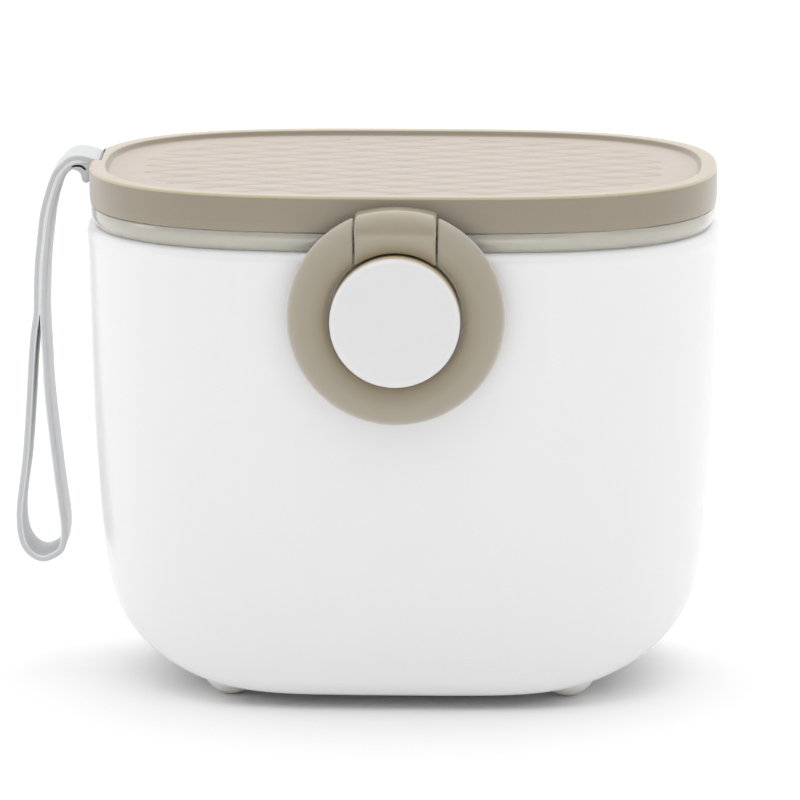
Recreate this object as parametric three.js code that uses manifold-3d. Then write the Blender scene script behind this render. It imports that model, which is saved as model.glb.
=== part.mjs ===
// Formula container: an oval white tub with a clear neck, a beige lid with a raised rim,
// a hinged ring clasp round a button on its front, and a flat wrist strap on its left end.
// Millimetres, +Z up, the front faces -Y and the strap is on the -X side.
// The origin is the centre of the tub's flat underside, and the feet reach below it.

import * as THREE from "three";
import { mergeVertices } from "three/addons/utils/BufferGeometryUtils.js";
import Module from "manifold-3d";

const wasm = await Module();
wasm.setup();

// Driving dimensions, the plan first: |x / a| ** 3.2 + |y / b| ** 2.53 = 1
const SEGMENTS = 68;
const WIDTH_POWER = 3.2;
const DEPTH_POWER = 2.53;
const LID_HALF_WIDTH = 66;
const LID_HALF_DEPTH = 45;
const GAP = 0.3;

// Heights above the underside
const TUB_TOP = 94.2;
const LID_BOTTOM = 98.3;
const LID_TOP = 106;

// Tub: a slight taper with a small flare at the top, a soft shoulder and large lower corners
const TUB_HALF_WIDTH = 66.6;
const TUB_HALF_DEPTH = 45.3;
const TUB_FLARE = 1.3;
const TUB_TAPER_WIDTH = 3.8;
const TUB_TAPER_DEPTH = 2.2;
const SHOULDER_WIDTH = 2.4;
const SHOULDER_HEIGHT = 2.1;
const CORNER_WIDTH = 52;
const CORNER_HEIGHT = 29.8;
const CORNER_POWER = 4;
const CORNER_STEPS = 10;
const FRONT_EDGE = 3.4;
const CUT_POWER = 5;
const BASE_CUT = 0.1;

// Domed feet under the corners
const FOOT_X = 35.2;
const FOOT_Y = 26;
const FOOT_RADIUS = 6.2;
const FOOT_DROP = 2.8;
const FOOT_FLAT = 1.2;

// Neck of the clear inner tub, and the stopper that fills it
const NECK_HALF_WIDTH = 65.8;
const NECK_HALF_DEPTH = 44.7;
const NECK_WALL = 1;

// Lid
const RIM_WIDTH = 3.3;
const RECESS_DEPTH = 1.1;
const NOTCH_X = -63.8;
const NOTCH_DEPTH = 4.6;

// Clasp: a ring with a flat back, hung on a pin through the hinge block
const CLASP_Z = LID_TOP - 24.4;
const CLASP_BACK_Y = -47;
const CLASP_OUTER_RADIUS = 22.5;
const CLASP_INNER_RADIUS = 13.95;
const CLASP_THICKNESS = 6;
const CLASP_CUT_HALF = 8.8;
const HINGE_Y = -49.9;
const HINGE_Z = CLASP_Z + 17.4;
const PIN_RADIUS = 0.9;
const PIN_REACH = 2;

// Hinge block on the lid's front
const BLOCK_HALF_WIDTH = 8.3;
const BLOCK_BACK_Y = -45.4;
const BLOCK_TOP_Z = LID_TOP - 1.9;
const BLOCK_TOP_RADIUS = 32;
const BLOCK_FOOT_RADIUS = 13.85;

// Button inside the ring
const BUTTON_RADIUS = 13.4;
const BUTTON_BACK_Y = -45.6;
const BUTTON_FACE_Y = -56.4;

// Strap: two layers lie together in the stem and part into a drop-shaped loop
const STRAP_WIDTH = 14.5;
const STRAP_Y = 8;

/**
 * Points of the plan with half sizes a and b at height z.
 * Where cut is less than a, the ends are cut softly at that half width.
 */
function planPoints({ a, b, cut = a, z }) {
  const ends = cut ** -CUT_POWER - a ** -CUT_POWER;
  return Array.from({ length: SEGMENTS }, (_, i) => {
    const turn = (2 * Math.PI * i) / SEGMENTS;
    const c = Math.cos(turn);
    const s = Math.sin(turn);
    const wide = a * Math.abs(c) ** (2 / WIDTH_POWER);
    const x = wide * (1 + wide ** CUT_POWER * ends) ** (-1 / CUT_POWER);
    const y = b * Math.abs(s) ** (2 / DEPTH_POWER);
    return [Math.sign(c) * x, Math.sign(s) * y, z];
  });
}

/** A solid through plan levels, capped flat at both ends or closed on itself. */
function loft(levels, { closed = false } = {}) {
  const positions = levels.flatMap(planPoints).flat();
  const index = [];
  const count = levels.length;
  const bands = closed ? count : count - 1;
  for (let k = 0; k < bands; k += 1) {
    const low = k * SEGMENTS;
    const high = ((k + 1) % count) * SEGMENTS;
    for (let i = 0; i < SEGMENTS; i += 1) {
      const j = (i + 1) % SEGMENTS;
      index.push(low + i, low + j, high + j, low + i, high + j, high + i);
    }
  }
  if (!closed) {
    const first = positions.length / 3;
    positions.push(0, 0, levels[0].z, 0, 0, levels[count - 1].z);
    const last = (count - 1) * SEGMENTS;
    for (let i = 0; i < SEGMENTS; i += 1) {
      const j = (i + 1) % SEGMENTS;
      index.push(first, j, i, first + 1, last + i, last + j);
    }
  }
  const geometry = new THREE.BufferGeometry();
  geometry.setAttribute("position", new THREE.Float32BufferAttribute(positions, 3));
  geometry.setIndex(index);
  return geometry;
}

/** The solid for cutting and joining that a closed geometry describes. */
function toSolid(geometry) {
  const bare = geometry.clone();
  bare.deleteAttribute("normal");
  bare.deleteAttribute("uv");
  const merged = mergeVertices(bare, 1e-4);
  const vertProperties = new Float32Array(merged.attributes.position.array);
  const triVerts = new Uint32Array(merged.index.array);
  return new wasm.Manifold(new wasm.Mesh({ numProp: 3, vertProperties, triVerts }));
}

/** The geometry of a cut or joined solid. */
function toGeometry(solid) {
  const mesh = solid.getMesh();
  const geometry = new THREE.BufferGeometry();
  geometry.setAttribute("position", new THREE.Float32BufferAttribute(mesh.vertProperties, 3));
  geometry.setIndex(Array.from(mesh.triVerts));
  return geometry;
}

/** A round piece turned about an axis along Y from [radius, y] points. */
function turnedAlongY(profile, segments, z) {
  const points = profile.map(([radius, y]) => new THREE.Vector2(radius, y));
  return new THREE.LatheGeometry(points, segments).translate(0, 0, z);
}

/** A cylinder along X, centred at x, y and z. */
function rodAlongX(radius, length, segments, [x, y, z]) {
  const rod = new THREE.CylinderGeometry(radius, radius, length, segments);
  return rod.rotateZ(Math.PI / 2).translate(x, y, z);
}

/** A cylinder along Y, centred at y = middle and height z. */
function rodAlongY(radius, length, segments, [middle, z]) {
  return new THREE.CylinderGeometry(radius, radius, length, segments).translate(0, middle, z);
}

/** One level of the tub at height z: the tapered plan, cut at the large lower corners. */
function tubLevel(z) {
  const below = Math.max(0, (TUB_TOP - SHOULDER_HEIGHT - z) / 80);
  const rise = Math.min(1, (z + BASE_CUT) / CORNER_HEIGHT);
  const swell = (1 - (1 - rise) ** CORNER_POWER) ** (1 / CORNER_POWER);
  const edgeRise = Math.min(1, z / FRONT_EDGE);
  const edgeSwell = Math.sqrt(1 - (1 - edgeRise) ** 2);
  const a = TUB_HALF_WIDTH - TUB_FLARE * Math.sqrt(below) - TUB_TAPER_WIDTH * below ** 3;
  const b = TUB_HALF_DEPTH - TUB_TAPER_DEPTH * below - FRONT_EDGE * (1 - edgeSwell);
  return { a, b, cut: a - CORNER_WIDTH * (1 - swell), z };
}

/** The tub's levels: lower corner, sides and soft shoulder. */
function tubLevels() {
  const corner = Array.from({ length: CORNER_STEPS }, (_, i) => {
    const angle = (Math.PI / 2) * (i / CORNER_STEPS);
    return tubLevel(CORNER_HEIGHT * (1 - Math.cos(angle) ** (2 / CORNER_POWER)));
  });
  const sides = [CORNER_HEIGHT, 42, 58, 74, 85, 90, TUB_TOP - SHOULDER_HEIGHT].map(tubLevel);
  const shoulder = [30, 60, 90].map((degrees) => {
    const angle = THREE.MathUtils.degToRad(degrees);
    const inset = SHOULDER_WIDTH * (1 - Math.cos(angle));
    const level = tubLevel(TUB_TOP);
    return {
      a: level.a - inset,
      b: level.b - inset,
      z: TUB_TOP - SHOULDER_HEIGHT * (1 - Math.sin(angle)),
    };
  });
  return [...corner, ...sides, ...shoulder];
}

/** A lid level, set in from the lid's greatest outline. */
function lidLevel([inset, z]) {
  return { a: LID_HALF_WIDTH - inset, b: LID_HALF_DEPTH - inset, z };
}

function tub() {
  return loft(tubLevels());
}

function foot(x, y) {
  const dome = [26, 44, 62, 78, 90].map((degrees) => {
    const angle = THREE.MathUtils.degToRad(degrees);
    const height = FOOT_RADIUS * (1 - Math.cos(angle)) - FOOT_DROP;
    return [FOOT_RADIUS * Math.sin(angle), height];
  });
  const base = [[0, -FOOT_DROP], [FOOT_FLAT, -FOOT_DROP]];
  const profile = [...base, ...dome, [FOOT_RADIUS, 6], [0, 6]];
  const points = profile.map(([radius, height]) => new THREE.Vector2(radius, height));
  const peg = new THREE.LatheGeometry(points, 20).rotateX(Math.PI / 2).translate(x, y, 0);
  const above = toSolid(tub()).translate([0, 0, -GAP]);
  return toGeometry(toSolid(peg).subtract(above));
}

/** Levels of the neck from its rounded foot up to the lid, set in by inset. */
function neckLevels(inset) {
  return [
    [1.4, TUB_TOP + GAP],
    [0.5, TUB_TOP + 1.2],
    [0, TUB_TOP + 2.5],
    [0, LID_BOTTOM - GAP],
  ].map(([rounding, z]) => ({
    a: NECK_HALF_WIDTH - rounding - inset,
    b: NECK_HALF_DEPTH - rounding - inset,
    z,
  }));
}

function neckRing() {
  return loft([...neckLevels(0), ...neckLevels(NECK_WALL).reverse()], { closed: true });
}

function stopper() {
  return loft(neckLevels(NECK_WALL + GAP));
}

function lid() {
  const floor = LID_TOP - RECESS_DEPTH;
  const profile = [
    [0.75, LID_BOTTOM],
    [0.25, LID_BOTTOM + 0.6],
    [0, LID_BOTTOM + 1.6],
    [0, LID_TOP - 0.9],
    [0.25, LID_TOP - 0.25],
    [0.9, LID_TOP],
    [RIM_WIDTH - 0.2, LID_TOP],
    [RIM_WIDTH + 0.3, LID_TOP - 0.25],
    [RIM_WIDTH + 1.9, floor + 0.1],
    [RIM_WIDTH + 2.7, floor],
  ];
  const plate = toSolid(loft(profile.map(lidLevel)));
  // The strap's end fills a notch in the lid's side
  const notch = new THREE.BoxGeometry(8, STRAP_WIDTH + 2 * GAP, 2 * NOTCH_DEPTH);
  return toGeometry(plate.subtract(toSolid(notch.translate(NOTCH_X - 4, STRAP_Y, LID_TOP))));
}

function hingeBlock() {
  const side = new THREE.Shape();
  side.moveTo(BLOCK_BACK_Y, BLOCK_TOP_Z);
  side.lineTo(BLOCK_BACK_Y, BLOCK_TOP_Z - 14);
  side.lineTo(-48.6, BLOCK_TOP_Z - 13);
  side.bezierCurveTo(-52, BLOCK_TOP_Z - 10.2, -53.2, BLOCK_TOP_Z - 8, -53.2, BLOCK_TOP_Z - 5.4);
  side.bezierCurveTo(-53.2, BLOCK_TOP_Z - 2.4, -51.4, BLOCK_TOP_Z, -49.4, BLOCK_TOP_Z);
  side.closePath();
  const bar = new THREE.ExtrudeGeometry(side, {
    depth: 2 * BLOCK_HALF_WIDTH,
    bevelEnabled: false,
    curveSegments: 7,
  });
  // The outline's x and y are the object's y and z, and its depth is the object's x
  bar.applyMatrix4(new THREE.Matrix4().makeBasis(
    new THREE.Vector3(0, 1, 0),
    new THREE.Vector3(0, 0, 1),
    new THREE.Vector3(1, 0, 0),
  ));
  bar.translate(-BLOCK_HALF_WIDTH, 0, 0);
  const crown = rodAlongY(BLOCK_TOP_RADIUS, 20, 72, [-50, BLOCK_TOP_Z - BLOCK_TOP_RADIUS]);
  const hollow = rodAlongY(BLOCK_FOOT_RADIUS, 20, 60, [-50, CLASP_Z]);
  const bore = rodAlongX(PIN_RADIUS + GAP, 30, 16, [0, HINGE_Y, HINGE_Z]);
  const shaped = toSolid(bar).intersect(toSolid(crown)).subtract(toSolid(hollow));
  return toGeometry(shaped.subtract(toSolid(bore)));
}

function hingePin() {
  const length = 2 * (CLASP_CUT_HALF + PIN_REACH);
  return rodAlongX(PIN_RADIUS, length, 16, [0, HINGE_Y, HINGE_Z]);
}

function claspRing() {
  const inner = CLASP_INNER_RADIUS;
  const outer = CLASP_OUTER_RADIUS;
  const front = CLASP_BACK_Y - CLASP_THICKNESS;
  const profile = [
    [inner + 0.8, CLASP_BACK_Y],
    [inner + 0.25, CLASP_BACK_Y - 0.25],
    [inner, CLASP_BACK_Y - 0.9],
    [inner, front + 1.6],
    [inner + 0.5, front + 0.5],
    [inner + 1.6, front + 0.05],
    [inner + 3.2, front],
    [outer - 3.3, front + 0.5],
    [outer - 1.6, front + 1.5],
    [outer - 0.5, front + 2.9],
    [outer, CLASP_BACK_Y - 1.6],
    [outer - 0.2, CLASP_BACK_Y - 0.6],
    [outer - 1, CLASP_BACK_Y],
    [inner + 0.8, CLASP_BACK_Y],
  ];
  const ring = toSolid(turnedAlongY(profile, 64, CLASP_Z));
  const opening = new THREE.BoxGeometry(2 * CLASP_CUT_HALF, 20, 30);
  const open = ring.subtract(toSolid(opening.translate(0, -50, CLASP_Z + 15)));
  const bore = rodAlongX(
    PIN_RADIUS + GAP,
    2 * (CLASP_CUT_HALF + PIN_REACH + GAP),
    16,
    [0, HINGE_Y, HINGE_Z],
  );
  return toGeometry(open.subtract(toSolid(bore)));
}

function button() {
  const profile = [
    [0, BUTTON_FACE_Y],
    [BUTTON_RADIUS - 1.4, BUTTON_FACE_Y],
    [BUTTON_RADIUS - 0.5, BUTTON_FACE_Y + 0.35],
    [BUTTON_RADIUS, BUTTON_FACE_Y + 1.2],
    [BUTTON_RADIUS, BUTTON_BACK_Y],
    [0, BUTTON_BACK_Y],
  ];
  return turnedAlongY(profile, 48, CLASP_Z);
}

/** A closed smooth outline through [x, height below the lid's top] points. */
function smoothOutline(points, divisions) {
  const knots = points.map(([x, drop]) => new THREE.Vector3(x, LID_TOP + drop, 0));
  const curve = new THREE.CatmullRomCurve3(knots, true, "centripetal");
  return curve.getPoints(divisions).slice(0, -1).map(({ x, y }) => new THREE.Vector2(x, y));
}

function strap() {
  // Round the outside: from the end in the lid's notch down the stem and round the loop, then
  // up the stem's inner side to the end's rounded foot beside the lid
  const outside = [
    [-64.1, -3.8],
    [-64.1, -0.8],
    [-64.6, 0],
    [-65.4, 0.25],
    [-66.5, 0.4],
    [-67.9, 0.75],
    [-69.4, 0.85],
    [-71.1, 0.3],
    [-72.8, -1.1],
    [-74, -2.5],
    [-75.1, -4.7],
    [-76, -7.8],
    [-77.3, -14.6],
    [-78.15, -24.3],
    [-79.1, -37],
    [-80, -49],
    [-80.9, -62.5],
    [-82, -71],
    [-82.5, -78],
    [-81.6, -83.4],
    [-79.6, -86],
    [-76.7, -86.9],
    [-74.2, -86],
    [-72.4, -83.5],
    [-71.5, -79.2],
    [-71.8, -75],
    [-72.7, -68.5],
    [-73.9, -58.9],
    [-75, -49.8],
    [-75.6, -37.3],
    [-75.5, -27.9],
    [-74.8, -17.3],
    [-73.7, -10.1],
    [-72.45, -6],
    [-71.3, -3.6],
    [-69.9, -2.4],
    [-68.7, -2.3],
    [-68, -3],
    [-67.8, -4.3],
    [-67.1, -5],
    [-66.3, -4.6],
    [-65.6, -4.3],
    [-64.6, -4.25],
  ];
  // Round the inside of the drop-shaped loop
  const inside = [
    [-77.3, -34.5],
    [-77.95, -38.5],
    [-78.3, -47.3],
    [-79.15, -61],
    [-80.4, -70.5],
    [-81, -78],
    [-80.3, -82.7],
    [-77.5, -85.6],
    [-74.6, -84.5],
    [-73, -80],
    [-73.1, -75.9],
    [-74.1, -68.4],
    [-75.3, -58.9],
    [-76.4, -49.7],
    [-76.95, -38.5],
  ];
  const shape = new THREE.Shape(smoothOutline(outside, 110));
  shape.holes.push(new THREE.Path(smoothOutline(inside, 48)));
  const band = new THREE.ExtrudeGeometry(shape, {
    depth: STRAP_WIDTH,
    bevelEnabled: false,
    curveSegments: 1,
  });
  return band.rotateX(Math.PI / 2).translate(0, STRAP_Y + STRAP_WIDTH / 2, 0);
}

const white = { color: 0xf2f1ef, roughness: 0.4, metalness: 0 };
const beige = { color: 0xc4b8a2, roughness: 0.55, metalness: 0 };
const clear = { color: 0xe9ebe6, roughness: 0.08, metalness: 0, transparent: true, opacity: 0.4 };
const sealGrey = { color: 0xbab3a4, roughness: 0.6, metalness: 0 };
const softGrey = { color: 0xd0d0d0, roughness: 0.5, metalness: 0 };
const cream = { color: 0xe6e3da, roughness: 0.7, metalness: 0 };

const container = new THREE.Group();

function place(name, geometry, finish) {
  const mesh = new THREE.Mesh(geometry, new THREE.MeshStandardMaterial(finish));
  mesh.name = name;
  container.add(mesh);
}

place("tub", tub(), white);
for (const [corner, x, y] of [
  ["front_left", -FOOT_X, -FOOT_Y],
  ["front_right", FOOT_X, -FOOT_Y],
  ["back_left", -FOOT_X, FOOT_Y],
  ["back_right", FOOT_X, FOOT_Y],
]) {
  place(`foot_${corner}`, foot(x, y), cream);
}
place("neck_ring", neckRing(), clear);
place("stopper", stopper(), sealGrey);
place("lid", lid(), beige);
place("hinge_block", hingeBlock(), { ...beige, roughness: 0.35 });
place("hinge_pin", hingePin(), { color: 0xb9bbbd, roughness: 0.3, metalness: 1 });
place("clasp_ring", claspRing(), { ...beige, color: 0xb3a78f });
place("button", button(), white);
place("strap", strap(), softGrey);

export default container;
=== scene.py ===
"""Looks of a formula container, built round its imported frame.

The container is an oval white tub on four small feet, with a clear neck, a beige lid with a
lattice of grooves in its recess, a hinged ring clasp round a white button, and a flat grey
wrist strap. Sizes are in millimetres over the tub's flat underside, and turn to metres where
a mesh is made. The front faces -Y and the strap hangs on the -X side.
"""
import logging
import math
from dataclasses import dataclass, field
from enum import Enum

import bmesh
import bpy
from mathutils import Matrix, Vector


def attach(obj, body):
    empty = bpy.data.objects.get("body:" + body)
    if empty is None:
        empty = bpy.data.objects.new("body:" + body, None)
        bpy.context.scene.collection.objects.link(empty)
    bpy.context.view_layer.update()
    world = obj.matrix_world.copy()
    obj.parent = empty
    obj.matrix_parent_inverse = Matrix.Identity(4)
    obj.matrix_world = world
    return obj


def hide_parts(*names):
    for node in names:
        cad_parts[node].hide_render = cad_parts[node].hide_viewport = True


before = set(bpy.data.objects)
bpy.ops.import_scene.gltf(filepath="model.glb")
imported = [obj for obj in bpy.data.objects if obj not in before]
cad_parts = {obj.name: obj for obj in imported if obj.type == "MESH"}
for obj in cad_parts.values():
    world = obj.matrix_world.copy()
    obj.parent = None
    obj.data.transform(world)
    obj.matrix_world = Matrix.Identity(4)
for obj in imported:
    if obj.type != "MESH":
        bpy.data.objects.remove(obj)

MM = 0.001
LOG = logging.getLogger("formula_container")

Point2 = tuple[float, float]
Point3 = tuple[float, float, float]


class Body(Enum):
    """The bodies of the frame that a piece can ride on."""

    CONTAINER = "container"
    CLASP = "clasp"


class Slot(Enum):
    """The material slots of the record."""

    WHITE = "white_plastic"
    FOOT = "foot_plastic"
    CLEAR = "clear_plastic"
    STOPPER = "stopper_plastic"
    LID = "lid_plastic"
    HINGE = "hinge_plastic"
    CLASP = "clasp_plastic"
    STRAP = "strap_silicone"


# Materials


def linear(hex_colour: str) -> tuple[float, float, float, float]:
    """Turns an sRGB hex colour to linear.

    Args:
        hex_colour: Six hex digits, such as "c4b8a2".

    Returns:
        Linear red, green and blue, and an alpha of 1.
    """
    channels = []
    for start in (0, 2, 4):
        value = int(hex_colour[start:start + 2], 16) / 255
        channels.append(value / 12.92 if value <= 0.04045 else ((value + 0.055) / 1.055) ** 2.4)
    return channels[0], channels[1], channels[2], 1.0


def add_node(
    tree: bpy.types.NodeTree,
    kind: str,
    settings: dict[str | int, object] | None = None,
    links: dict[str | int, bpy.types.NodeSocket] | None = None,
) -> bpy.types.Node:
    """Adds a node with its settings and links.

    Args:
        tree: The node tree that gets the node.
        kind: Blender's name for the node's type.
        settings: Values by input name or number, or by the node's own property.
        links: Sockets to link from, by input name or number.

    Returns:
        The new node.
    """
    node = tree.nodes.new(kind)
    for name, value in (settings or {}).items():
        if isinstance(name, int) or name in node.inputs:
            node.inputs[name].default_value = value
        else:
            setattr(node, name, value)
    for name, socket in (links or {}).items():
        tree.links.new(socket, node.inputs[name])
    return node


def per_mm(size_mm: float) -> float:
    """The texture scale that gives features of this size, since coordinates are in metres."""
    return 1 / (size_mm * MM)


@dataclass(frozen=True)
class Shading:
    """A material in the making: its nodes, its shader and the coordinates, in metres."""

    tree: bpy.types.NodeTree
    shader: bpy.types.Node
    place: bpy.types.NodeSocket

    def fix(self, values: dict[str, float]) -> None:
        """Sets the shader's own sockets, by name."""
        for name, value in values.items():
            self.shader.inputs[name].default_value = value

    def link(self, sockets: dict[str, bpy.types.NodeSocket]) -> None:
        """Links textures to the shader's sockets, by name."""
        for name, socket in sockets.items():
            self.tree.links.new(socket, self.shader.inputs[name])


@dataclass(frozen=True)
class Finish:
    """What every finish has: a name, a colour and a shader in a node tree of its own."""

    name: str
    colour: str

    def material(self) -> bpy.types.Material:
        """Makes the material, or finds it if it is there.

        Returns:
            The material with its nodes.
        """
        known = bpy.data.materials.get(self.name)
        if known:
            return known
        made = bpy.data.materials.new(self.name)
        made.use_nodes = True
        made.diffuse_color = linear(self.colour)
        tree = made.node_tree
        tree.nodes.clear()
        shader = add_node(tree, "ShaderNodeBsdfPrincipled", {"Base Color": linear(self.colour)})
        place = add_node(tree, "ShaderNodeTexCoord").outputs["Object"]
        self.wire(Shading(tree, shader, place))
        add_node(tree, "ShaderNodeOutputMaterial", links={"Surface": shader.outputs[0]})
        return made

    def wire(self, shading: Shading) -> None:
        """Sets the shader's sockets and links its textures. Each finish has its own way."""


@dataclass(frozen=True)
class Moulded(Finish):
    """An opaque moulded plastic or rubber: pigment clouds, uneven gloss and moulded grain."""

    deep: str
    roughness: float = 0.45
    uneven: float = 0.04
    ior: float = 1.49
    grain_mm: float = 0.6
    grain_height_mm: float = 0.01
    cloud_mm: float = 24
    blotches: float = 5.0
    sheen: float = 0.0
    sheen_roughness: float = 0.5
    coat: float = 0.0
    coat_roughness: float = 0.2

    def wire(self, shading: Shading) -> None:
        """Links clouds to the colour, blotches to the roughness and grain to the bump.

        Args:
            shading: The material in the making.
        """
        tree, place = shading.tree, shading.place
        shading.fix(
            {
                "IOR": self.ior,
                "Sheen Weight": self.sheen,
                "Sheen Roughness": self.sheen_roughness,
                "Coat Weight": self.coat,
                "Coat Roughness": self.coat_roughness,
            }
        )
        cloud = add_node(
            tree, "ShaderNodeTexNoise",
            {"Scale": per_mm(self.cloud_mm), "Detail": 2.0},
            {"Vector": place},
        )
        colour = add_node(
            tree, "ShaderNodeMix",
            {"data_type": "RGBA", 6: linear(self.colour), 7: linear(self.deep)},
            {0: cloud.outputs[0]},
        )
        blotch = add_node(
            tree, "ShaderNodeTexNoise",
            {"Scale": per_mm(self.cloud_mm / self.blotches), "Detail": 3.0},
            {"Vector": place},
        )
        gloss = add_node(
            tree, "ShaderNodeMapRange",
            {
                "From Min": 0.3,
                "From Max": 0.7,
                "To Min": self.roughness - self.uneven,
                "To Max": self.roughness + self.uneven,
            },
            {"Value": blotch.outputs[0]},
        )
        grain = add_node(
            tree, "ShaderNodeTexNoise",
            {"Scale": per_mm(self.grain_mm), "Detail": 2.0, "Roughness": 0.6},
            {"Vector": place},
        )
        bump = add_node(
            tree, "ShaderNodeBump",
            {"Strength": 1.0, "Distance": self.grain_height_mm * MM},
            {"Height": grain.outputs[0]},
        )
        shading.link(
            {
                "Base Color": colour.outputs[2],
                "Roughness": gloss.outputs[0],
                "Normal": bump.outputs[0],
            }
        )


@dataclass(frozen=True)
class ClearMoulded(Finish):
    """A clear moulded plastic, polished, with faint level flow lines from the mould."""

    roughness: float = 0.03
    ior: float = 1.57
    clearness: float = 0.68
    wave_mm: float = 1.3
    wave_length_mm: float = 30.0
    wave_height_mm: float = 0.012

    def wire(self, shading: Shading) -> None:
        """Makes the shader partly clear and links the flow lines.

        Args:
            shading: The material in the making.
        """
        tree, place = shading.tree, shading.place
        shading.fix(
            {
                "Transmission Weight": self.clearness,
                "Roughness": self.roughness,
                "IOR": self.ior,
            }
        )
        along = per_mm(self.wave_length_mm)
        stretch = add_node(
            tree, "ShaderNodeMapping",
            {"Scale": (along, along, per_mm(self.wave_mm))},
            {"Vector": place},
        )
        wave = add_node(
            tree, "ShaderNodeTexNoise",
            {"Scale": 1.0, "Detail": 2.0},
            {"Vector": stretch.outputs[0]},
        )
        bump = add_node(
            tree, "ShaderNodeBump",
            {"Strength": 1.0, "Distance": self.wave_height_mm * MM},
            {"Height": wave.outputs[0]},
        )
        shading.link({"Normal": bump.outputs[0]})


@dataclass(frozen=True)
class DrawnWire(Finish):
    """Drawn steel wire, with fine scores along X from the drawing die."""

    roughness: float = 0.5
    uneven: float = 0.08
    score_mm: float = 0.12
    score_length_mm: float = 6.0

    def wire(self, shading: Shading) -> None:
        """Makes the shader metal and links the scores.

        Args:
            shading: The material in the making.
        """
        tree, place = shading.tree, shading.place
        shading.fix({"Metallic": 1.0})
        across = per_mm(self.score_mm)
        along = per_mm(self.score_length_mm)
        stretch = add_node(
            tree, "ShaderNodeMapping", {"Scale": (along, across, across)}, {"Vector": place}
        )
        score = add_node(
            tree, "ShaderNodeTexNoise", {"Scale": 1.0}, {"Vector": stretch.outputs[0]}
        )
        gloss = add_node(
            tree, "ShaderNodeMapRange",
            {"To Min": self.roughness - self.uneven, "To Max": self.roughness + self.uneven},
            {"Value": score.outputs[0]},
        )
        shading.link({"Roughness": gloss.outputs[0]})


# Polypropylene, moulded in a fine-polished tool: clean white with a soft broad gloss
WHITE_POLYPROPYLENE = Moulded(
    "white_polypropylene", "efeff0", deep="ededee",
    roughness=0.4, uneven=0.03, grain_mm=1.2, grain_height_mm=0.004, coat=0.35,
    coat_roughness=0.12,
)

# The same polypropylene from a satin tool: a flat neutral white face with no mirror in it
SATIN_POLYPROPYLENE = Moulded(
    "satin_white_polypropylene", "e5e4e5", deep="e3e2e3",
    roughness=0.5, grain_mm=0.7, grain_height_mm=0.006,
)

# The same polypropylene on the button's stem, cream as painted bounce light: a yellowish line
STEM_BOUNCE_POLYPROPYLENE = Moulded(
    "polypropylene_painted_stem_bounce", "e0d3b4", deep="dccfb0",
    grain_mm=0.7, grain_height_mm=0.006,
)

# Thermoplastic rubber, moulded: a touch creamier than the tub and without gloss
CREAM_RUBBER = Moulded(
    "cream_thermoplastic_rubber", "f3f2ee", deep="efeee9",
    roughness=0.7, grain_mm=0.7, grain_height_mm=0.015, cloud_mm=6,
)

# Polypropylene from a spark-eroded tool: powdery beige that goes pale at a low angle.
# Its real grain of 0.15 mm is too fine to show, so it is drawn at 0.45 mm.
BEIGE_POLYPROPYLENE = Moulded(
    "spark_textured_beige_polypropylene", "9c9281", deep="978d7d",
    roughness=0.4, uneven=0.05, grain_mm=0.45, grain_height_mm=0.045, cloud_mm=30, sheen=0.5,
    sheen_roughness=0.4,
)

# The same polypropylene in the recess, finer and a bit pinker, lighter as painted top light
RECESS_POLYPROPYLENE = Moulded(
    "fine_textured_beige_polypropylene", "b8a898", deep="b4a494",
    grain_mm=0.55, grain_height_mm=0.012, cloud_mm=30, sheen=0.55, sheen_roughness=0.4,
)

# The same polypropylene, lighter on the rim's top: a painted highlight, a cream line round the
# rim
RIM_HIGHLIGHT_POLYPROPYLENE = Moulded(
    "beige_polypropylene_painted_rim_highlight", "b8a98d", deep="b4a589",
    roughness=0.3, grain_mm=0.55, grain_height_mm=0.005, cloud_mm=30, sheen=0.6,
    sheen_roughness=0.4,
)

# Acrylonitrile butadiene styrene, moulded satin: a beige barrel with a soft sheen band
BEIGE_ABS = Moulded(
    "satin_beige_abs", "a49a86", deep="a19783",
    roughness=0.3, uneven=0.02, ior=1.54, grain_mm=0.9, grain_height_mm=0.003, cloud_mm=12,
    coat=0.4, coat_roughness=0.18,
)

# Polypropylene with a soft-touch lacquer: no highlights, and velvety pale edges
SOFT_TOUCH_BEIGE = Moulded(
    "soft_touch_beige_polypropylene", "a59c8a", deep="a19886",
    roughness=0.6, grain_mm=0.5, grain_height_mm=0.005, cloud_mm=18, sheen=1.0,
    sheen_roughness=0.45,
)

# Styrene acrylonitrile, polished and clear: a glossy film that greys what is behind it
CLEAR_SAN = ClearMoulded("clear_styrene_acrylonitrile", "fbfaf4")

# Polyethylene, moulded soft for the stopper: a flat yellowish beige that the neck greys
STOPPER_POLYETHYLENE = Moulded(
    "grey_beige_polyethylene", "d4c69f", deep="d0c29b",
    roughness=0.55, ior=1.51, grain_mm=0.8, grain_height_mm=0.01, cloud_mm=12,
)

# Silicone rubber, moulded satin: light neutral grey with a dry, faintly dusty surface
GREY_SILICONE = Moulded(
    "light_grey_silicone_rubber", "cecfd0", deep="cacbcc",
    roughness=0.48, ior=1.42, grain_mm=0.5, grain_height_mm=0.008, cloud_mm=9, sheen=0.15,
)

# The same silicone, pale on the seam and the loop's inner edge: a painted highlight line
SILICONE_PAINTED_HIGHLIGHT = Moulded(
    "silicone_seam_painted_highlight", "eeeef0", deep="ebebed",
    roughness=0.35, ior=1.42, grain_mm=0.5, grain_height_mm=0.003,
)

# Drawn steel wire: dull grey with fine scores, darkened as painted shade for the pin's gap
STEEL_WIRE = DrawnWire("drawn_steel_painted_shade", "6f7173")


# Meshes


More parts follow.
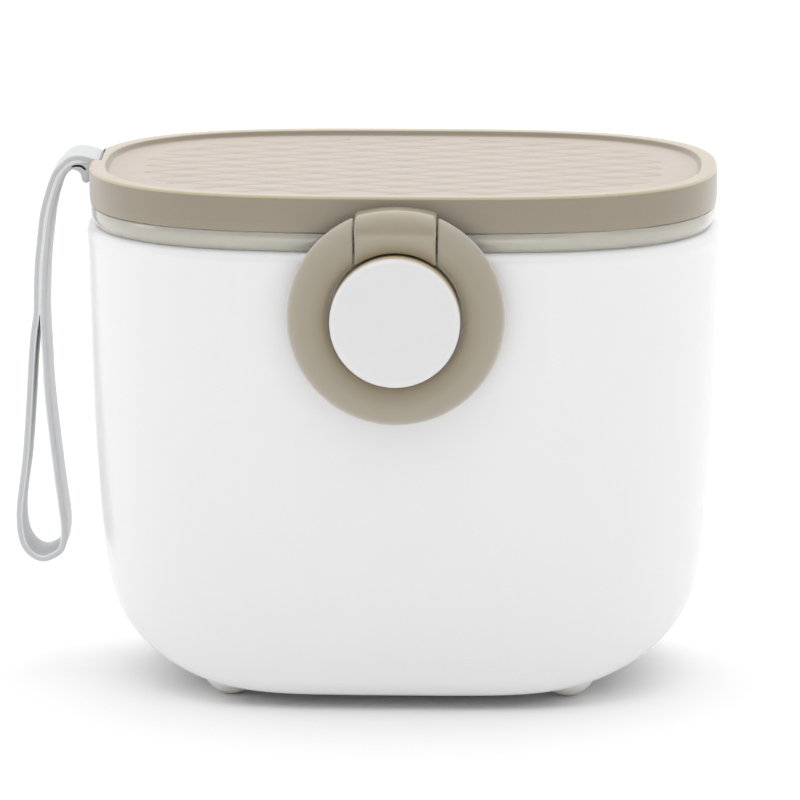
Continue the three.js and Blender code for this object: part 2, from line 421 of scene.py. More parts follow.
def rounded(corners: list[tuple[float, float, float]], steps: int = 6) -> list[Point2]:
    """Rounds the corners of an open line with arcs.

    Args:
        corners: The two coordinates of each corner and the radius there, 0 for none.
        steps: The spans in each arc.

    Returns:
        The points of the rounded line.
    """
    line: list[Point2] = []
    for i, (x, y, radius) in enumerate(corners):
        here = Vector((x, y))
        if not radius or i in (0, len(corners) - 1):
            line.append((x, y))
            continue
        back = (Vector(corners[i - 1][:2]) - here).normalized()
        ahead = (Vector(corners[i + 1][:2]) - here).normalized()
        half = back.angle(ahead) / 2
        reach = radius / math.tan(half)
        centre = here + (back + ahead).normalized() * (radius / math.sin(half))
        first = here + back * reach - centre
        last = here + ahead * reach - centre
        sweep = first.angle_signed(last)
        for k in range(steps + 1):
            turn = -sweep * k / steps
            c, s = math.cos(turn), math.sin(turn)
            point = centre + Vector((first.x * c - first.y * s, first.x * s + first.y * c))
            line.append((point.x, point.y))
    return line


def smooth_path(knots: list[Point2], spans: int, closed: bool = False) -> list[Point2]:
    """A smooth line through knots, a Catmull-Rom spline with centripetal spacing.

    Args:
        knots: The points that the line passes.
        spans: The spans between two knots.
        closed: True if the line returns to its start.

    Returns:
        The points of the line.
    """
    count = len(knots)
    points = [Vector(k) for k in knots]
    if closed:
        points = [points[-1], *points, points[0], points[1]]
    else:
        points = [points[0] * 2 - points[1], *points, points[-1] * 2 - points[-2]]
    line: list[Point2] = []
    for i in range(count if closed else count - 1):
        p = points[i:i + 4]
        t = [0.0]
        for a, b in zip(p, p[1:]):
            t.append(t[-1] + max((b - a).length, 1e-6) ** 0.5)
        for k in range(spans):
            u = t[1] + (t[2] - t[1]) * k / spans
            a = [p[j].lerp(p[j + 1], (u - t[j]) / (t[j + 1] - t[j])) for j in range(3)]
            b = [a[j].lerp(a[j + 1], (u - t[j]) / (t[j + 2] - t[j])) for j in range(2)]
            point = b[0].lerp(b[1], (u - t[1]) / (t[2] - t[1]))
            line.append((point.x, point.y))
    if not closed:
        line.append((points[-2].x, points[-2].y))
    return line


def inset(outline: list[Point2], distance: float) -> list[Point2]:
    """Moves a closed outline's points inwards.

    Args:
        outline: The points, in either sense of turning.
        distance: How far each point moves.

    Returns:
        The moved points.
    """
    count = len(outline)
    area = sum(
        outline[i - 1][0] * outline[i][1] - outline[i][0] * outline[i - 1][1]
        for i in range(count)
    )
    sense = math.copysign(1, area)
    moved = []
    for i, (x, y) in enumerate(outline):
        before = outline[i - 1]
        after = outline[(i + 1) % count]
        along = Vector((after[0] - before[0], after[1] - before[1])).normalized()
        moved.append((x - sense * along.y * distance, y + sense * along.x * distance))
    return moved


@dataclass
class Draft:
    """A mesh in the making, in millimetres."""

    points: list[Point3] = field(default_factory=list)
    faces: list[tuple[int, ...]] = field(default_factory=list)

    def ring(self, points: list[Point3]) -> list[int]:
        """Adds points.

        Args:
            points: The points, in millimetres.

        Returns:
            Their numbers.
        """
        first = len(self.points)
        self.points.extend(points)
        return list(range(first, len(self.points)))

    def bridge(self, low: list[int], high: list[int], closed: bool = True) -> None:
        """Joins two rows of points with quads.

        Args:
            low: The first row's numbers.
            high: The second row's numbers, as many.
            closed: True if each row returns to its start.
        """
        for i in range(0 if closed else 1, len(low)):
            self.faces.append((low[i - 1], low[i], high[i], high[i - 1]))

    def loft(self, rings: list[list[Point3]], caps: bool = True, around: bool = False) -> None:
        """Joins rings of points into a skin.

        Args:
            rings: The rings, each closed and with as many points.
            caps: True to close the first and the last ring with a face.
            around: True if the last ring joins the first.
        """
        rows = [self.ring(points) for points in rings]
        for low, high in zip(rows, rows[1:]):
            self.bridge(low, high)
        if around:
            self.bridge(rows[-1], rows[0])
        elif caps:
            self.faces.append(tuple(rows[0]))
            self.faces.append(tuple(rows[-1]))

    def build(self, name: str, crease: float = 38) -> bpy.types.Object:
        """Makes the object at the origin, shaded smooth but for its creases.

        Args:
            name: The piece's name.
            crease: The least angle between two faces, in degrees, that stays sharp.

        Returns:
            The object, with its mesh in metres.
        """
        mesh = bpy.data.meshes.new(name)
        mesh.from_pydata([[c * MM for c in p] for p in self.points], [], self.faces)
        shape = bmesh.new()
        shape.from_mesh(mesh)
        bmesh.ops.recalc_face_normals(shape, faces=shape.faces)
        shape.to_mesh(mesh)
        shape.free()
        mesh.shade_smooth()
        mesh.set_sharp_from_angle(angle=math.radians(crease))
        made = bpy.data.objects.new(name, mesh)
        bpy.context.scene.collection.objects.link(made)
        return made


def bevel_edges(mesh: bpy.types.Mesh, least: float, width: float, steps: int) -> None:
    """Rounds a mesh's sharp edges.

    Args:
        mesh: The mesh, in metres, changed in place.
        least: The least angle between two faces, in degrees, of an edge that is rounded.
        width: The rounding's width in millimetres.
        steps: The spans across it.
    """
    shape = bmesh.new()
    shape.from_mesh(mesh)
    sharp = [e for e in shape.edges if e.calc_face_angle(0) > math.radians(least)]
    bmesh.ops.bevel(
        shape,
        geom=sharp,
        offset=width * MM,
        segments=steps,
        profile=0.5,
        affect="EDGES",
        clamp_overlap=True,
    )
    shape.to_mesh(mesh)
    shape.free()


def cut_away(target: bpy.types.Object, cutter: bpy.types.Object) -> None:
    """Cuts one object out of another and removes the cutter.

    Args:
        target: The object that gets a new mesh.
        cutter: The object that is cut out.
    """
    cut = target.modifiers.new("cut", "BOOLEAN")
    cut.operation = "DIFFERENCE"
    cut.solver = "EXACT"
    cut.object = cutter
    bpy.context.view_layer.update()
    depsgraph = bpy.context.evaluated_depsgraph_get()
    target.data = bpy.data.meshes.new_from_object(target.evaluated_get(depsgraph))
    target.modifiers.clear()
    bpy.data.objects.remove(cutter)


@dataclass(frozen=True)
class Plan:
    """A plan outline, |x / a| ** 3.2 + |y / b| ** 2.53 = 1, whose ends may be cut softly."""

    half_width: float
    half_depth: float
    cut: float = 0.0
    width_power: float = 3.2
    depth_power: float = 2.53
    cut_power: float = 5.0

    def ring(self, z: float, count: int) -> list[Point3]:
        """The outline's points at a height.

        Args:
            z: The height.
            count: How many points.

        Returns:
            The points, counterclockwise from +X.
        """
        power = self.cut_power
        ends = (self.cut or self.half_width) ** -power - self.half_width ** -power
        points = []
        for i in range(count):
            turn = 2 * math.pi * i / count
            c, s = math.cos(turn), math.sin(turn)
            wide = self.half_width * abs(c) ** (2 / self.width_power)
            x = wide * (1 + wide ** power * ends) ** (-1 / power)
            y = self.half_depth * abs(s) ** (2 / self.depth_power)
            points.append((math.copysign(x, c), math.copysign(y, s), z))
        return points

    def holds(self, x: float, y: float) -> bool:
        """True if a point is inside the uncut outline."""
        across = abs(x / self.half_width) ** self.width_power
        return across + abs(y / self.half_depth) ** self.depth_power < 1

    def smaller(self, by: float) -> "Plan":
        """The same outline, set in by a distance."""
        return Plan(self.half_width - by, self.half_depth - by)


# Sub-assemblies


@dataclass
class Piece:
    """A finished piece, the nodes that it stands for and the body that it rides on."""

    thing: bpy.types.Object
    finishes: list[Finish]
    slot: Slot
    nodes: list[str]
    body: Body = Body.CONTAINER

    def dress(self) -> bpy.types.Object:
        """Gives the piece its materials and puts it on its body.

        Returns:
            The piece's object.
        """
        for finish in self.finishes:
            self.thing.data.materials.append(finish.material())
        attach(self.thing, self.body.value)
        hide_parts(*self.nodes)
        LOG.info("%s stands for %s", self.thing.name, ", ".join(self.nodes))
        return self.thing


@dataclass
class Tub:
    """The white outer tub: a slight taper, a soft shoulder and large lower corners."""

    top: float = 94.3
    half_width: float = 66.6
    half_depth: float = 45.3
    flare: float = 1.3
    taper_width: float = 3.8
    taper_depth: float = 2.2
    shoulder_width: float = 2.5
    shoulder_height: float = 2.2
    corner_width: float = 52.0
    corner_height: float = 29.8
    corner_power: float = 4.0
    base_cut: float = 0.1
    front_edge: float = 3.4
    taper_height: float = 80.0
    top_inset: float = 2.5
    count: int = 256
    corner_spans: int = 44
    flank_spans: int = 20
    shoulder_spans: int = 10
    foot_x: float = 35.2
    foot_y: float = 26.0
    foot_radius: float = 6.2
    foot_drop: float = 2.8
    foot_flat: float = 0.6
    foot_count: int = 40

    def plan_at(self, z: float) -> Plan:
        """The tub's outline at a height.

        Args:
            z: The height over the underside.

        Returns:
            The outline there, its ends cut softly below the flanks.
        """
        below = max(0.0, (self.top - self.shoulder_height - z) / self.taper_height)
        rise = min(1.0, (z + self.base_cut) / self.corner_height)
        swell = (1 - (1 - rise) ** self.corner_power) ** (1 / self.corner_power)
        edge_rise = min(1.0, z / self.front_edge)
        edge = self.front_edge * (1 - math.sqrt(1 - (1 - edge_rise) ** 2))
        a = self.half_width - self.flare * math.sqrt(below) - self.taper_width * below ** 3
        b = self.half_depth - self.taper_depth * below - edge
        return Plan(a, b, cut=a - self.corner_width * (1 - swell))

    def body(self) -> Piece:
        """Builds the tub's skin.

        Returns:
            The tub as a piece.
        """
        turns = [math.pi / 2 * k / self.corner_spans for k in range(self.corner_spans)]
        power = 2 / self.corner_power
        heights = [self.corner_height * (1 - math.cos(turn) ** power) for turn in turns]
        flank = self.top - self.shoulder_height - self.corner_height
        for k in range(self.flank_spans + 1):
            heights.append(self.corner_height + flank * (1 - (1 - k / self.flank_spans) ** 2))
        rings = [self.plan_at(z).ring(z, self.count) for z in heights]
        crown = self.plan_at(self.top)
        for k in range(1, self.shoulder_spans + 1):
            angle = math.pi / 2 * k / self.shoulder_spans
            plan = crown.smaller(self.shoulder_width * (1 - math.cos(angle)))
            z = self.top - self.shoulder_height * (1 - math.sin(angle))
            rings.append(plan.ring(z, self.count))
        inner = crown.smaller(self.shoulder_width + self.top_inset)
        rings.append(inner.ring(self.top, self.count))
        draft = Draft()
        draft.loft(rings)
        made = draft.build("tub_shell", crease=60)
        return Piece(made, [WHITE_POLYPROPYLENE], Slot.WHITE, ["tub"])

    def foot(self, node: str, x: float, y: float) -> Piece:
        """Builds one foot, a dome under a corner.

        Args:
            node: The frame's node that the foot stands for.
            x: The foot's centre.
            y: The foot's centre.

        Returns:
            The foot as a piece.
        """
        profile = [(self.foot_flat, -self.foot_drop)]
        for degrees in range(12, 91, 6):
            angle = math.radians(degrees)
            rise = self.foot_radius * (1 - math.cos(angle))
            profile.append((self.foot_radius * math.sin(angle), rise - self.foot_drop))
        draft = Draft()
        turns = [2 * math.pi * i / self.foot_count for i in range(self.foot_count)]
        rings = [
            [(x + r * math.cos(t), y + r * math.sin(t), z) for t in turns] for r, z in profile
        ]
        draft.loft(rings)
        made = draft.build(f"{node}_pad")
        return Piece(made, [CREAM_RUBBER], Slot.FOOT, [node])

    def pieces(self) -> list[Piece]:
        """Builds the tub and its four feet.

        Returns:
            The pieces.
        """
        made = [self.body()]
        for across, side in ((-1, "left"), (1, "right")):
            for along, end in ((-1, "front"), (1, "back")):
                node = f"foot_{end}_{side}"
                made.append(self.foot(node, across * self.foot_x, along * self.foot_y))
        return made


@dataclass
class Neck:
    """The clear neck of the inner tub and the stopper behind it."""

    half_width: float = 65.8
    half_depth: float = 44.8
    wall: float = 1.0
    low: float = 93.7
    high: float = 98.25
    gap: float = 0.15
    bulge_radius: float = 3.8
    bulge_z: float = 97.0
    bulge_spans: int = 16
    count: int = 256

    def pieces(self) -> list[Piece]:
        """Builds the neck's bulging wall and the stopper behind it.

        Returns:
            The pieces.
        """
        outer = Plan(self.half_width, self.half_depth)
        face = []
        for k in range(self.bulge_spans + 1):
            z = self.low + (self.high - self.low) * k / self.bulge_spans
            fall = math.sqrt(self.bulge_radius ** 2 - (z - self.bulge_z) ** 2)
            face.append((self.bulge_radius - fall, z))
        back = [(by + self.wall, z) for by, z in reversed(face)]
        ring = Draft()
        ring.loft([outer.smaller(by).ring(z, self.count) for by, z in face + back], around=True)
        block = Draft()
        behind = outer.smaller(self.wall + self.gap)
        block.loft([behind.smaller(by).ring(z, self.count) for by, z in face])
        wall = ring.build("neck_wall")
        slab = block.build("neck_stopper")
        return [
            Piece(wall, [CLEAR_SAN], Slot.CLEAR, ["neck_ring"]),
            Piece(slab, [STOPPER_POLYETHYLENE], Slot.STOPPER, ["stopper"]),
        ]


@dataclass
class Lattice:
    """Two families of fine V grooves that cross to long diamonds."""

    slope: float = 0.472
    pitch: float = 8.53
    half_groove: float = 0.5
    depth: float = 0.2
    end_border: float = 11.3
    side_border: float = 8.2
    run_out: float = 0.7

    def plan(self, half_width: float, half_depth: float) -> Plan:
        """The outline of the field of grooves in a lid of this half width and half depth."""
        return Plan(half_width - self.end_border, half_depth - self.side_border)

    def cut(self, shape: bmesh.types.BMesh, floor: float, reach: Point2) -> None:
        """Cuts the faces marked 1 along the grooves and lowers the grooves' bottoms.

        Args:
            shape: The lid's mesh, in metres.
            floor: The height of the recess.
            reach: The half width and half depth of the field.
        """
        drop = math.hypot(1.0, self.slope)
        most = math.ceil((reach[1] + self.slope * reach[0]) / self.pitch)
        for lean in (-1, 1):
            normal = Vector((-lean * self.slope, 1.0, 0.0)).normalized()
            for k in range(-most, most + 1):
                for side in (-1, 0, 1):
                    at = k * self.pitch + side * self.half_groove * drop
                    field_faces = [f for f in shape.faces if f.material_index == 1]
                    edges = {e for f in field_faces for e in f.edges}
                    corners = {v for f in field_faces for v in f.verts}
                    bmesh.ops.bisect_plane(
                        shape,
                        geom=[*field_faces, *edges, *corners],
                        dist=1e-7,
                        plane_co=Vector((0.0, at * MM, floor * MM)),
                        plane_no=normal,
                    )
        rim = {v for f in shape.faces if f.material_index == 0 for v in f.verts}
        inside = {v for f in shape.faces if f.material_index == 1 for v in f.verts} - rim
        for v in inside:
            deepest = 0.0
            for lean in (-1, 1):
                offset = (v.co.y - lean * self.slope * v.co.x) / MM
                away = abs(offset - self.pitch * round(offset / self.pitch)) / drop
                deepest = max(deepest, 1 - away / self.half_groove)
            v.co.z -= deepest * self.depth * MM


@dataclass
class Lid:
    """The beige lid: a rim with rounded edges round a shallow recess with a lattice."""

    half_width: float = 66.0
    half_depth: float = 45.0
    low: float = 98.3
    top: float = 106.0
    recess: float = 1.1
    strap_y: float = 8.0
    notch_x: float = -63.85
    notch_length: float = 15.1
    notch_depth: float = 4.6
    notch_reach: float = 6.0
    rim_highlight_band: float = 0.45
    recess_inset: float = 4.8
    crease: float = 24.0
    count: int = 256
    lattice: Lattice = field(default_factory=Lattice)

    def profile(self) -> list[Point2]:
        """The line from the underside over the rim to the recess.

        Returns:
            The line's points, as [inset from the outline, height].
        """
        floor = self.top - self.recess
        return rounded(
            [
                (6.0, self.low, 0),
                (1.2, self.low, 0.2),
                (0.15, self.low + 0.2, 0.2),
                (0.0, self.low + 2.0, 1.0),
                (0.0, self.top, 0.85),
                (3.2, self.top, 0.4),
                (3.8, floor, 0.6),
                (7.4, floor, 0),
            ],
            steps=7,
        )

    def notch(self) -> bpy.types.Object:
        """The shape of the notch for the strap's end, chamfered a little at the rim's top.

        Returns:
            The shape that is cut out of the lid.
        """
        rings = []
        half = self.notch_length / 2
        for z, grow in ((-self.notch_depth, 0.0), (-0.12, 0.0), (0.02, 0.1), (1.0, 0.1)):
            corners = (
                (self.notch_x + grow, half + grow),
                (self.notch_x - self.notch_reach, half + grow),
                (self.notch_x - self.notch_reach, -half - grow),
                (self.notch_x + grow, -half - grow),
            )
            rings.append([(x, self.strap_y + y, self.top + z) for x, y in corners])
        draft = Draft()
        draft.loft(rings)
        return draft.build("notch")

    def pieces(self) -> list[Piece]:
        """Builds the lid with its lattice and the strap's notch.

        Returns:
            The lid as a piece.
        """
        outer = Plan(self.half_width, self.half_depth)
        floor = self.top - self.recess
        draft = Draft()
        rings = [outer.smaller(by).ring(z, self.count) for by, z in self.profile()]
        draft.loft(rings, caps=False)
        draft.faces.append(tuple(range(self.count)))
        edge = list(range(len(draft.points) - self.count, len(draft.points)))
        within = self.lattice.plan(self.half_width, self.half_depth)
        for plan in (within, within.smaller(self.lattice.run_out)):
            inner = draft.ring(plan.ring(floor, self.count))
            draft.bridge(edge, inner)
            edge = inner
        draft.faces.append(tuple(edge))
        made = draft.build("lid_plate")
        shape = bmesh.new()
        shape.from_mesh(made.data)
        for face in shape.faces:
            middle = face.calc_center_median() / MM
            if middle.z > floor - 0.1 and within.holds(middle.x, middle.y):
                face.material_index = 1
        self.lattice.cut(shape, floor, (within.half_width, within.half_depth))
        inner_plan = outer.smaller(self.recess_inset)
        for face in shape.faces:
            # Painted highlight: faces on the rim's top take a lighter, glossier beige
            middle = face.calc_center_median() / MM
            if middle.z > self.top - self.rim_highlight_band:
                face.material_index = 2
            # Painted top light: the recess takes a lighter copy of the lid's beige
            elif middle.z > floor - 1 and inner_plan.holds(middle.x, middle.y):
                face.material_index = 1
        shape.to_mesh(made.data)
        shape.free()
        cut_away(made, self.notch())
        made.data.set_sharp_from_angle(angle=math.radians(self.crease))
        finishes = [BEIGE_POLYPROPYLENE, RECESS_POLYPROPYLENE, RIM_HIGHLIGHT_POLYPROPYLENE]
        return [Piece(made, finishes, Slot.LID, ["lid"])]


@dataclass
class Clasp:
    """The hinge block on the lid, the ring that hangs on it, and the button in the ring."""

    z: float = 81.6
    lid_front: float = -44.7
    block_half_width: float = 8.4
    block_top: float = 104.1
    crown_radius: float = 32.0
    foot_radius: float = 13.85
    block_edge: float = 0.7
    block_stations: tuple[float, ...] = (0.0, 1.5, 3.0, 4.5, 6.0, 7.0)
    block_edge_spans: int = 5
    crown_y: float = -49.4
    crown_depth: float = 3.8
    crown_spans: int = 12
    waist_drop: float = 4.6
    belly_y: float = -48.6
    belly_depth: float = 4.6
    belly_turn: float = math.radians(46)
    belly_spans: int = 10
    lip_turn: float = 0.09
    lip: float = 0.7
    lip_spans: int = 6
    ring_cut: float = 8.75
    ring_edge: float = 0.7
    ring_edge_from: float = 50.0
    ring_edge_spans: int = 3
    ring_crease: float = 40.0
    ring_sections: int = 168
    button_radius: float = 13.4
    button_back: float = -44.9
    button_face: float = -56.6
    button_rounding: float = 1.5
    button_count: int = 128
    cap: float = 1.8

    def block_section(self, x: float) -> list[Point2]:
        """The block's outline at a distance from its middle.

        Args:
            x: The distance to the side.

        Returns:
            The [y, z] points, from the back of the top round the front to the back.
        """
        drop = self.crown_radius - math.sqrt(self.crown_radius ** 2 - x ** 2)
        top = self.block_top - drop
        waist = self.block_top - self.waist_drop
        low = self.z + math.sqrt(self.foot_radius ** 2 - x ** 2)
        line = [(self.lid_front, top)]
        for k in range(self.crown_spans + 1):
            turn = math.pi / 2 * k / self.crown_spans
            y = self.crown_y - self.crown_depth * math.sin(turn)
            line.append((y, waist + (top - waist) * math.cos(turn)))
        end = self.belly_turn
        reach = (waist - low) / math.sin(end)
        for k in range(1, self.belly_spans + 1):
            turn = (end - self.lip_turn) * k / self.belly_spans
            y = self.belly_y - self.belly_depth * math.cos(turn)
            line.append((y, waist - reach * math.sin(turn)))
        start = Vector(line[-1])
        corner = Vector((self.belly_y - self.belly_depth * math.cos(end), low))
        finish = corner + Vector((self.lip, 0.0))
        for k in range(1, self.lip_spans + 1):
            t = k / self.lip_spans
            point = start * (1 - t) ** 2 + corner * 2 * t * (1 - t) + finish * t ** 2
            line.append((point.x, point.y))
        line.append((self.lid_front, low))
        return line

    def block(self) -> Piece:
        """Builds the hinge block from sections across its width.

        Returns:
            The block as a piece.
        """
        stations = [(x, 0.0) for x in self.block_stations]
        inner = self.block_half_width - self.block_edge
        for k in range(self.block_edge_spans + 1):
            turn = math.pi / 2 * k / self.block_edge_spans
            x = inner + self.block_edge * math.sin(turn)
            stations.append((x, self.block_edge * (1 - math.cos(turn))))
        mirrored = [(-x, by) for x, by in reversed(stations[1:])] + stations
        rings = []
        for x, by in mirrored:
            outline = inset(self.block_section(x), by)
            rings.append([(x, y, z) for y, z in outline])
        draft = Draft()
        draft.loft(rings)
        made = draft.build("hinge_barrel")
        return Piece(made, [BEIGE_ABS], Slot.HINGE, ["hinge_block"])

    def ring(self) -> Piece:
        """Builds the open ring, with its two ends cut upright beside the block.

        Returns:
            The ring as a piece.
        """
        profile = smooth_path(
            [
                (14.8, -47.0), (14.2, -47.25), (13.95, -47.9), (13.95, -49.2), (14.05, -50.6),
                (14.75, -51.8), (16.1, -52.6), (17.8, -52.95), (19.4, -52.6), (20.95, -51.6),
                (22.05, -50.2), (22.5, -48.6), (22.3, -47.6), (21.5, -47.0), (18.1, -47.0),
            ],
            spans=5,
            closed=True,
        )
        rings = []
        for k in range(self.ring_sections + 1):
            points = []
            for radius, y in profile:
                first = math.asin(self.ring_cut / radius)
                turn = first + (2 * math.pi - 2 * first) * k / self.ring_sections
                points.append((radius * math.sin(turn), y, self.z + radius * math.cos(turn)))
            rings.append(points)
        draft = Draft()
        draft.loft(rings)
        made = draft.build("clasp_hoop")
        bevel_edges(made.data, self.ring_edge_from, self.ring_edge, self.ring_edge_spans)
        made.data.set_sharp_from_angle(angle=math.radians(self.ring_crease))
        return Piece(made, [SOFT_TOUCH_BEIGE], Slot.CLASP, ["clasp_ring"], Body.CLASP)

    def button(self) -> Piece:
        """Builds the button, a white cap with a soft edge on a stem painted cream as bounce
        light.

        Returns:
            The button as a piece.
        """
        radius, face = self.button_radius, self.button_face
        profile = rounded(
            [
                (0.5, face, 0),
                (7.0, face + 0.02, 0),
                (radius, face + 0.1, self.button_rounding),
                (radius, self.button_back, 0),
            ],
            steps=9,
        )
        turns = [2 * math.pi * i / self.button_count for i in range(self.button_count)]
        rings = [
            [(r * math.sin(t), y, self.z + r * math.cos(t)) for t in turns] for r, y in profile
        ]
        draft = Draft()
        draft.loft(rings)
        made = draft.build("front_button")
        # The stem behind the white cap takes cream: painted bounce light from the beige around
        # it
        for part in made.data.polygons:
            part.material_index = int(part.center.y / MM > face + self.cap)
        finishes = [SATIN_POLYPROPYLENE, STEM_BOUNCE_POLYPROPYLENE]
        return Piece(made, finishes, Slot.WHITE, ["button"])

    def pieces(self) -> list[Piece]:
        """Builds the block, the ring and the button, and finishes the pin.

        Returns:
            The pieces.
        """
        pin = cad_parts["hinge_pin"]
        pin.data.materials.clear()
        # The pin takes the darkened steel: painted shade in the gap beside the block
        pin.data.materials.append(STEEL_WIRE.material())
        return [self.block(), self.ring(), self.button()]


@dataclass
class Strap:
    """The wrist strap: one band whose two halves lie together and part into a loop.

    pale_edge holds the first and last of the section's points on its front inner edge, which
    gets a painted highlight.
    """

    lid_top: float = 106.0
    middle: float = 8.0
    width: float = 14.5
    thickness: float = 1.37
    edge: float = 0.45
    foot_edge: float = 0.5
    foot_spans: int = 6
    route: tuple[Point2, ...] = (
        (-64.85, -0.9), (-65.3, -0.6), (-66.0, -0.36), (-66.9, -0.1), (-67.9, 0.1),
        (-69.3, 0.15), (-70.8, -0.35), (-72.3, -1.7), (-73.5, -3.1), (-74.4, -5.15),
        (-75.1, -7.4), (-75.8, -9.8), (-76.4, -12.8), (-76.9, -17.2), (-77.4, -22.0),
        (-77.7, -28.0), (-77.85, -33.5), (-78.4, -37.2), (-78.95, -43.5), (-79.7, -55.5),
        (-80.5, -65.4), (-81.7, -74.6), (-81.8, -78.0), (-81.55, -80.8), (-80.9, -83.1),
        (-79.7, -84.9), (-78.1, -85.95), (-76.6, -86.2), (-74.95, -85.65), (-73.1, -84.3),
        (-72.5, -82.2), (-72.4, -79.2), (-72.75, -75.9), (-73.7, -68.5), (-74.8, -58.9),
        (-75.7, -49.8), (-76.0, -43.5), (-76.3, -37.3), (-76.4, -33.6), (-76.3, -28.0),
        (-76.0, -22.0), (-75.5, -17.3), (-74.98, -12.9), (-74.4, -9.95), (-73.8, -7.8),
        (-73.1, -5.7), (-72.3, -3.8), (-71.3, -2.35), (-70.1, -1.5), (-69.0, -1.35),
        (-68.0, -1.5), (-67.1, -2.2),
    )
    foot: tuple[Point2, ...] = (
        (-64.2, -4.3), (-64.2, -0.8), (-64.7, -0.3), (-65.6, -0.2), (-67.5, -0.25),
        (-69.3, -0.6), (-70.5, -1.2), (-70.6, -2.05), (-69.6, -2.3), (-68.75, -2.65),
        (-68.25, -3.3), (-68.05, -4.2), (-67.75, -4.8), (-67.15, -5.1), (-66.5, -4.8),
        (-66.1, -4.3),
    )
    seam: tuple[Point2, ...] = (
        (-77.13, -33.5), (-77.0, -28.0), (-76.7, -22.0), (-76.2, -17.25), (-75.69, -12.85),
        (-75.1, -9.9), (-74.45, -7.6), (-73.75, -5.4), (-72.9, -3.45), (-71.8, -2.0),
        (-70.4, -0.95), (-69.25, -0.6), (-67.9, -0.6),
    )
    seam_radius: float = 0.3
    seam_count: int = 10
    pale_edge: tuple[int, int] = (9, 13)

    def section(self) -> list[Point2]:
        """The band's outline across.

        Returns:
            The outline's points, as [along the strap's width, through its thickness].
        """
        a, b, r = self.width / 2, self.thickness / 2, self.edge
        line = rounded([(a, 0, 0), (a, b, r), (-a, b, r), (-a, -b, r), (a, -b, r), (a, 0, 0)])
        return line[:-1]

    def sweep(self, path: list[Point2], section: list[Point2]) -> list[list[Point3]]:
        """Carries a section along a line in the strap's side view.

        Args:
            path: The line's points, as [x, drop under the lid's top].
            section: The section, as [along the strap's width, through its thickness].

        Returns:
            One ring for each point of the line.
        """
        rings = []
        for i, (x, drop) in enumerate(path):
            before = Vector(path[max(0, i - 1)])
            after = Vector(path[min(len(path) - 1, i + 1)])
            along = (after - before).normalized()
            rings.append(
                [
                    (x - along.y * t, self.middle + w, self.lid_top + drop + along.x * t)
                    for w, t in section
                ]
            )
        return rings

    def pieces(self) -> list[Piece]:
        """Builds the band, the thick foot in the lid's notch and the bead along the seam.

        Returns:
            The strap as a piece.
        """
        draft = Draft()
        draft.loft(self.sweep(smooth_path(list(self.route), spans=5), self.section()))
        band = len(draft.points)
        foot = smooth_path(list(self.foot), spans=3, closed=True)
        half = self.width / 2 - self.foot_edge
        ends = []
        for k in range(self.foot_spans + 1):
            turn = math.pi / (2 * self.foot_spans) * k
            w = -half - self.foot_edge * math.cos(turn)
            ends.append((w, self.foot_edge * (1 - math.sin(turn))))
        ends += [(-w, by) for w, by in reversed(ends)]
        rings = []
        for w, by in ends:
            outline = inset(foot, by)
            rings.append([(x, self.middle + w, self.lid_top + drop) for x, drop in outline])
        draft.loft(rings)
        beads = len(draft.points)
        turns = [2 * math.pi / self.seam_count * k for k in range(self.seam_count)]
        for side in (-1, 1):
            at = side * (self.width / 2 - self.seam_radius)
            bead = [
                (at + self.seam_radius * math.cos(t), self.seam_radius * math.sin(t))
                for t in turns
            ]
            draft.loft(self.sweep(smooth_path(list(self.seam), spans=4), bead))
        made = draft.build("wrist_band")
        size = len(self.section())
        # The front inner edge and the seam's beads take the pale silicone: a painted highlight
        first, last = self.pale_edge
        for part in made.data.polygons:
            places = [v % size for v in part.vertices]
            on_edge = first <= min(places) and max(places) <= last
            pale = on_edge and max(part.vertices) < band
            part.material_index = int(pale or min(part.vertices) >= beads)
        finishes = [GREY_SILICONE, SILICONE_PAINTED_HIGHLIGHT]
        return [Piece(made, finishes, Slot.STRAP, ["strap"])]


# Stage


@dataclass
class Softbox:
    """A soft rectangular lamp that faces a point."""

    name: str
    place: Point3
    target: Point3
    width: float
    height: float
    watts: float

    def build(self) -> None:
        """Makes the lamp."""
        lamp = bpy.data.lights.new(self.name, "AREA")
        lamp.shape = "RECTANGLE"
        lamp.size = self.width * MM
        lamp.size_y = self.height * MM
        lamp.energy = self.watts
        made = bpy.data.objects.new(self.name, lamp)
        made.location = [c * MM for c in self.place]
        aim = Vector(self.target) - Vector(self.place)
        made.rotation_euler = aim.to_track_quat("-Z", "Y").to_euler()
        bpy.context.scene.collection.objects.link(made)


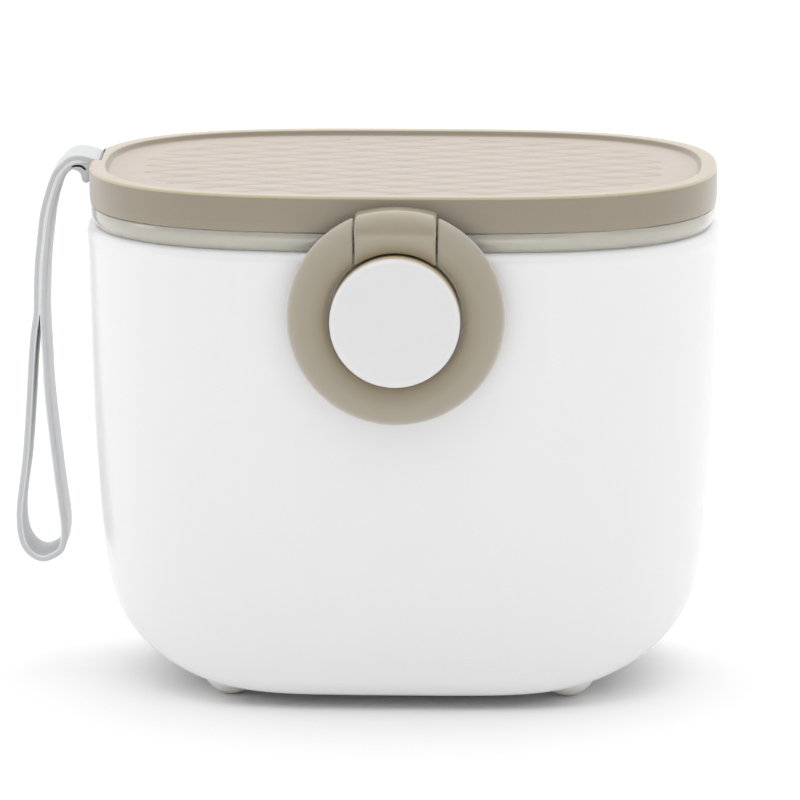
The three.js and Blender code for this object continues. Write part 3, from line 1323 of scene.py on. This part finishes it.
@dataclass
class Studio:
    """The pale floor, the soft light round the object, and the camera."""

    floor_z: float = -2.8
    floor_half: float = 3000.0
    floor_colour: str = "f6f6f6"
    light_behind: float = 1.05
    light_before: float = 0.33
    light_above: float = 1.0
    light_turn: float = 0.7
    zenith_from: float = 0.3
    backdrop: float = 1.05
    camera_place: Point3 = (56.49, -1676.41, 382.48)
    camera_down: float = 11.05
    camera_turn: float = 1.956
    focal_length: float = 363.2
    boxes: tuple[Softbox, ...] = (
        Softbox("left_softbox", (-850, 0, 350), (0, 0, 60), 300, 900, 0.15),
        Softbox("right_softbox", (850, 0, 350), (0, 0, 60), 300, 900, 0.02),
        Softbox("low_card", (0, -320, 12), (0, -45, 30), 320, 60, 0.065),
        Softbox("left_strip", (-890, -180, 250), (0, 0, 95), 310, 80, 0.35),
        Softbox("right_strip", (600, -750, 261), (0, 0, 95), 260, 60, 0.3),
    )

    def floor(self) -> None:
        """Lays the floor that the feet stand on."""
        half = self.floor_half
        draft = Draft()
        corners = [(-half, -half), (half, -half), (half, half), (-half, half)]
        draft.faces.append(tuple(draft.ring([(x, y, self.floor_z) for x, y in corners])))
        made = draft.build("studio_floor")
        # Matt paper: a plain white sweep without gloss
        paper = Moulded(
            "matt_white_paper", self.floor_colour, deep=self.floor_colour,
            roughness=0.9, uneven=0.0, grain_mm=2.0,
        )
        made.data.materials.append(paper.material())

    def world(self) -> None:
        """Lights the scene all round, brighter behind and above the object than before it."""
        world = bpy.data.worlds.new("studio_world")
        world.use_nodes = True
        bpy.context.scene.world = world
        tree = world.node_tree
        tree.nodes.clear()
        place = add_node(tree, "ShaderNodeTexCoord").outputs["Generated"]
        parts = add_node(tree, "ShaderNodeSeparateXYZ", links={0: place})
        strength = add_node(
            tree, "ShaderNodeMapRange",
            {
                "From Min": -self.light_turn,
                "From Max": self.light_turn,
                "To Min": self.light_before,
                "To Max": self.light_behind,
            },
            {"Value": parts.outputs["Y"]},
        )
        zenith = add_node(
            tree, "ShaderNodeMapRange",
            {"From Min": self.zenith_from, "To Max": self.light_above},
            {"Value": parts.outputs["Z"]},
        )
        total = add_node(
            tree, "ShaderNodeMath",
            {"operation": "ADD"},
            {0: strength.outputs[0], 1: zenith.outputs[0]},
        )
        white = {"Color": linear("ffffff")}
        sky = add_node(tree, "ShaderNodeBackground", white, {"Strength": total.outputs[0]})
        sweep = add_node(tree, "ShaderNodeBackground", {**white, "Strength": self.backdrop})
        ray = add_node(tree, "ShaderNodeLightPath")
        both = add_node(
            tree, "ShaderNodeMixShader",
            links={0: ray.outputs["Is Camera Ray"], 1: sky.outputs[0], 2: sweep.outputs[0]},
        )
        add_node(tree, "ShaderNodeOutputWorld", links={"Surface": both.outputs[0]})

    def camera(self) -> None:
        """Stands the camera where the photograph was taken from."""
        lens = bpy.data.cameras.new("studio_camera")
        lens.lens = self.focal_length
        lens.sensor_width = 36.0
        lens.clip_start = 0.05
        lens.clip_end = 20.0
        made = bpy.data.objects.new("studio_camera", lens)
        made.location = [c * MM for c in self.camera_place]
        turns = (90 - self.camera_down, 0.0, self.camera_turn)
        made.rotation_euler = [math.radians(t) for t in turns]
        bpy.context.scene.collection.objects.link(made)
        bpy.context.scene.camera = made

    def build(self) -> None:
        """Builds the whole stage."""
        bpy.context.scene.view_settings.view_transform = "Standard"
        self.camera()
        self.floor()
        self.world()
        for box in self.boxes:
            box.build()


def main() -> None:
    logging.basicConfig(level=logging.INFO, format="%(name)s: %(message)s")
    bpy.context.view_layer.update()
    Studio().build()
    for assembly in (Tub(), Neck(), Lid(), Clasp(), Strap()):
        for piece in assembly.pieces():
            piece.dress()
    bpy.context.view_layer.update()


if __name__ == "__main__":
    main()
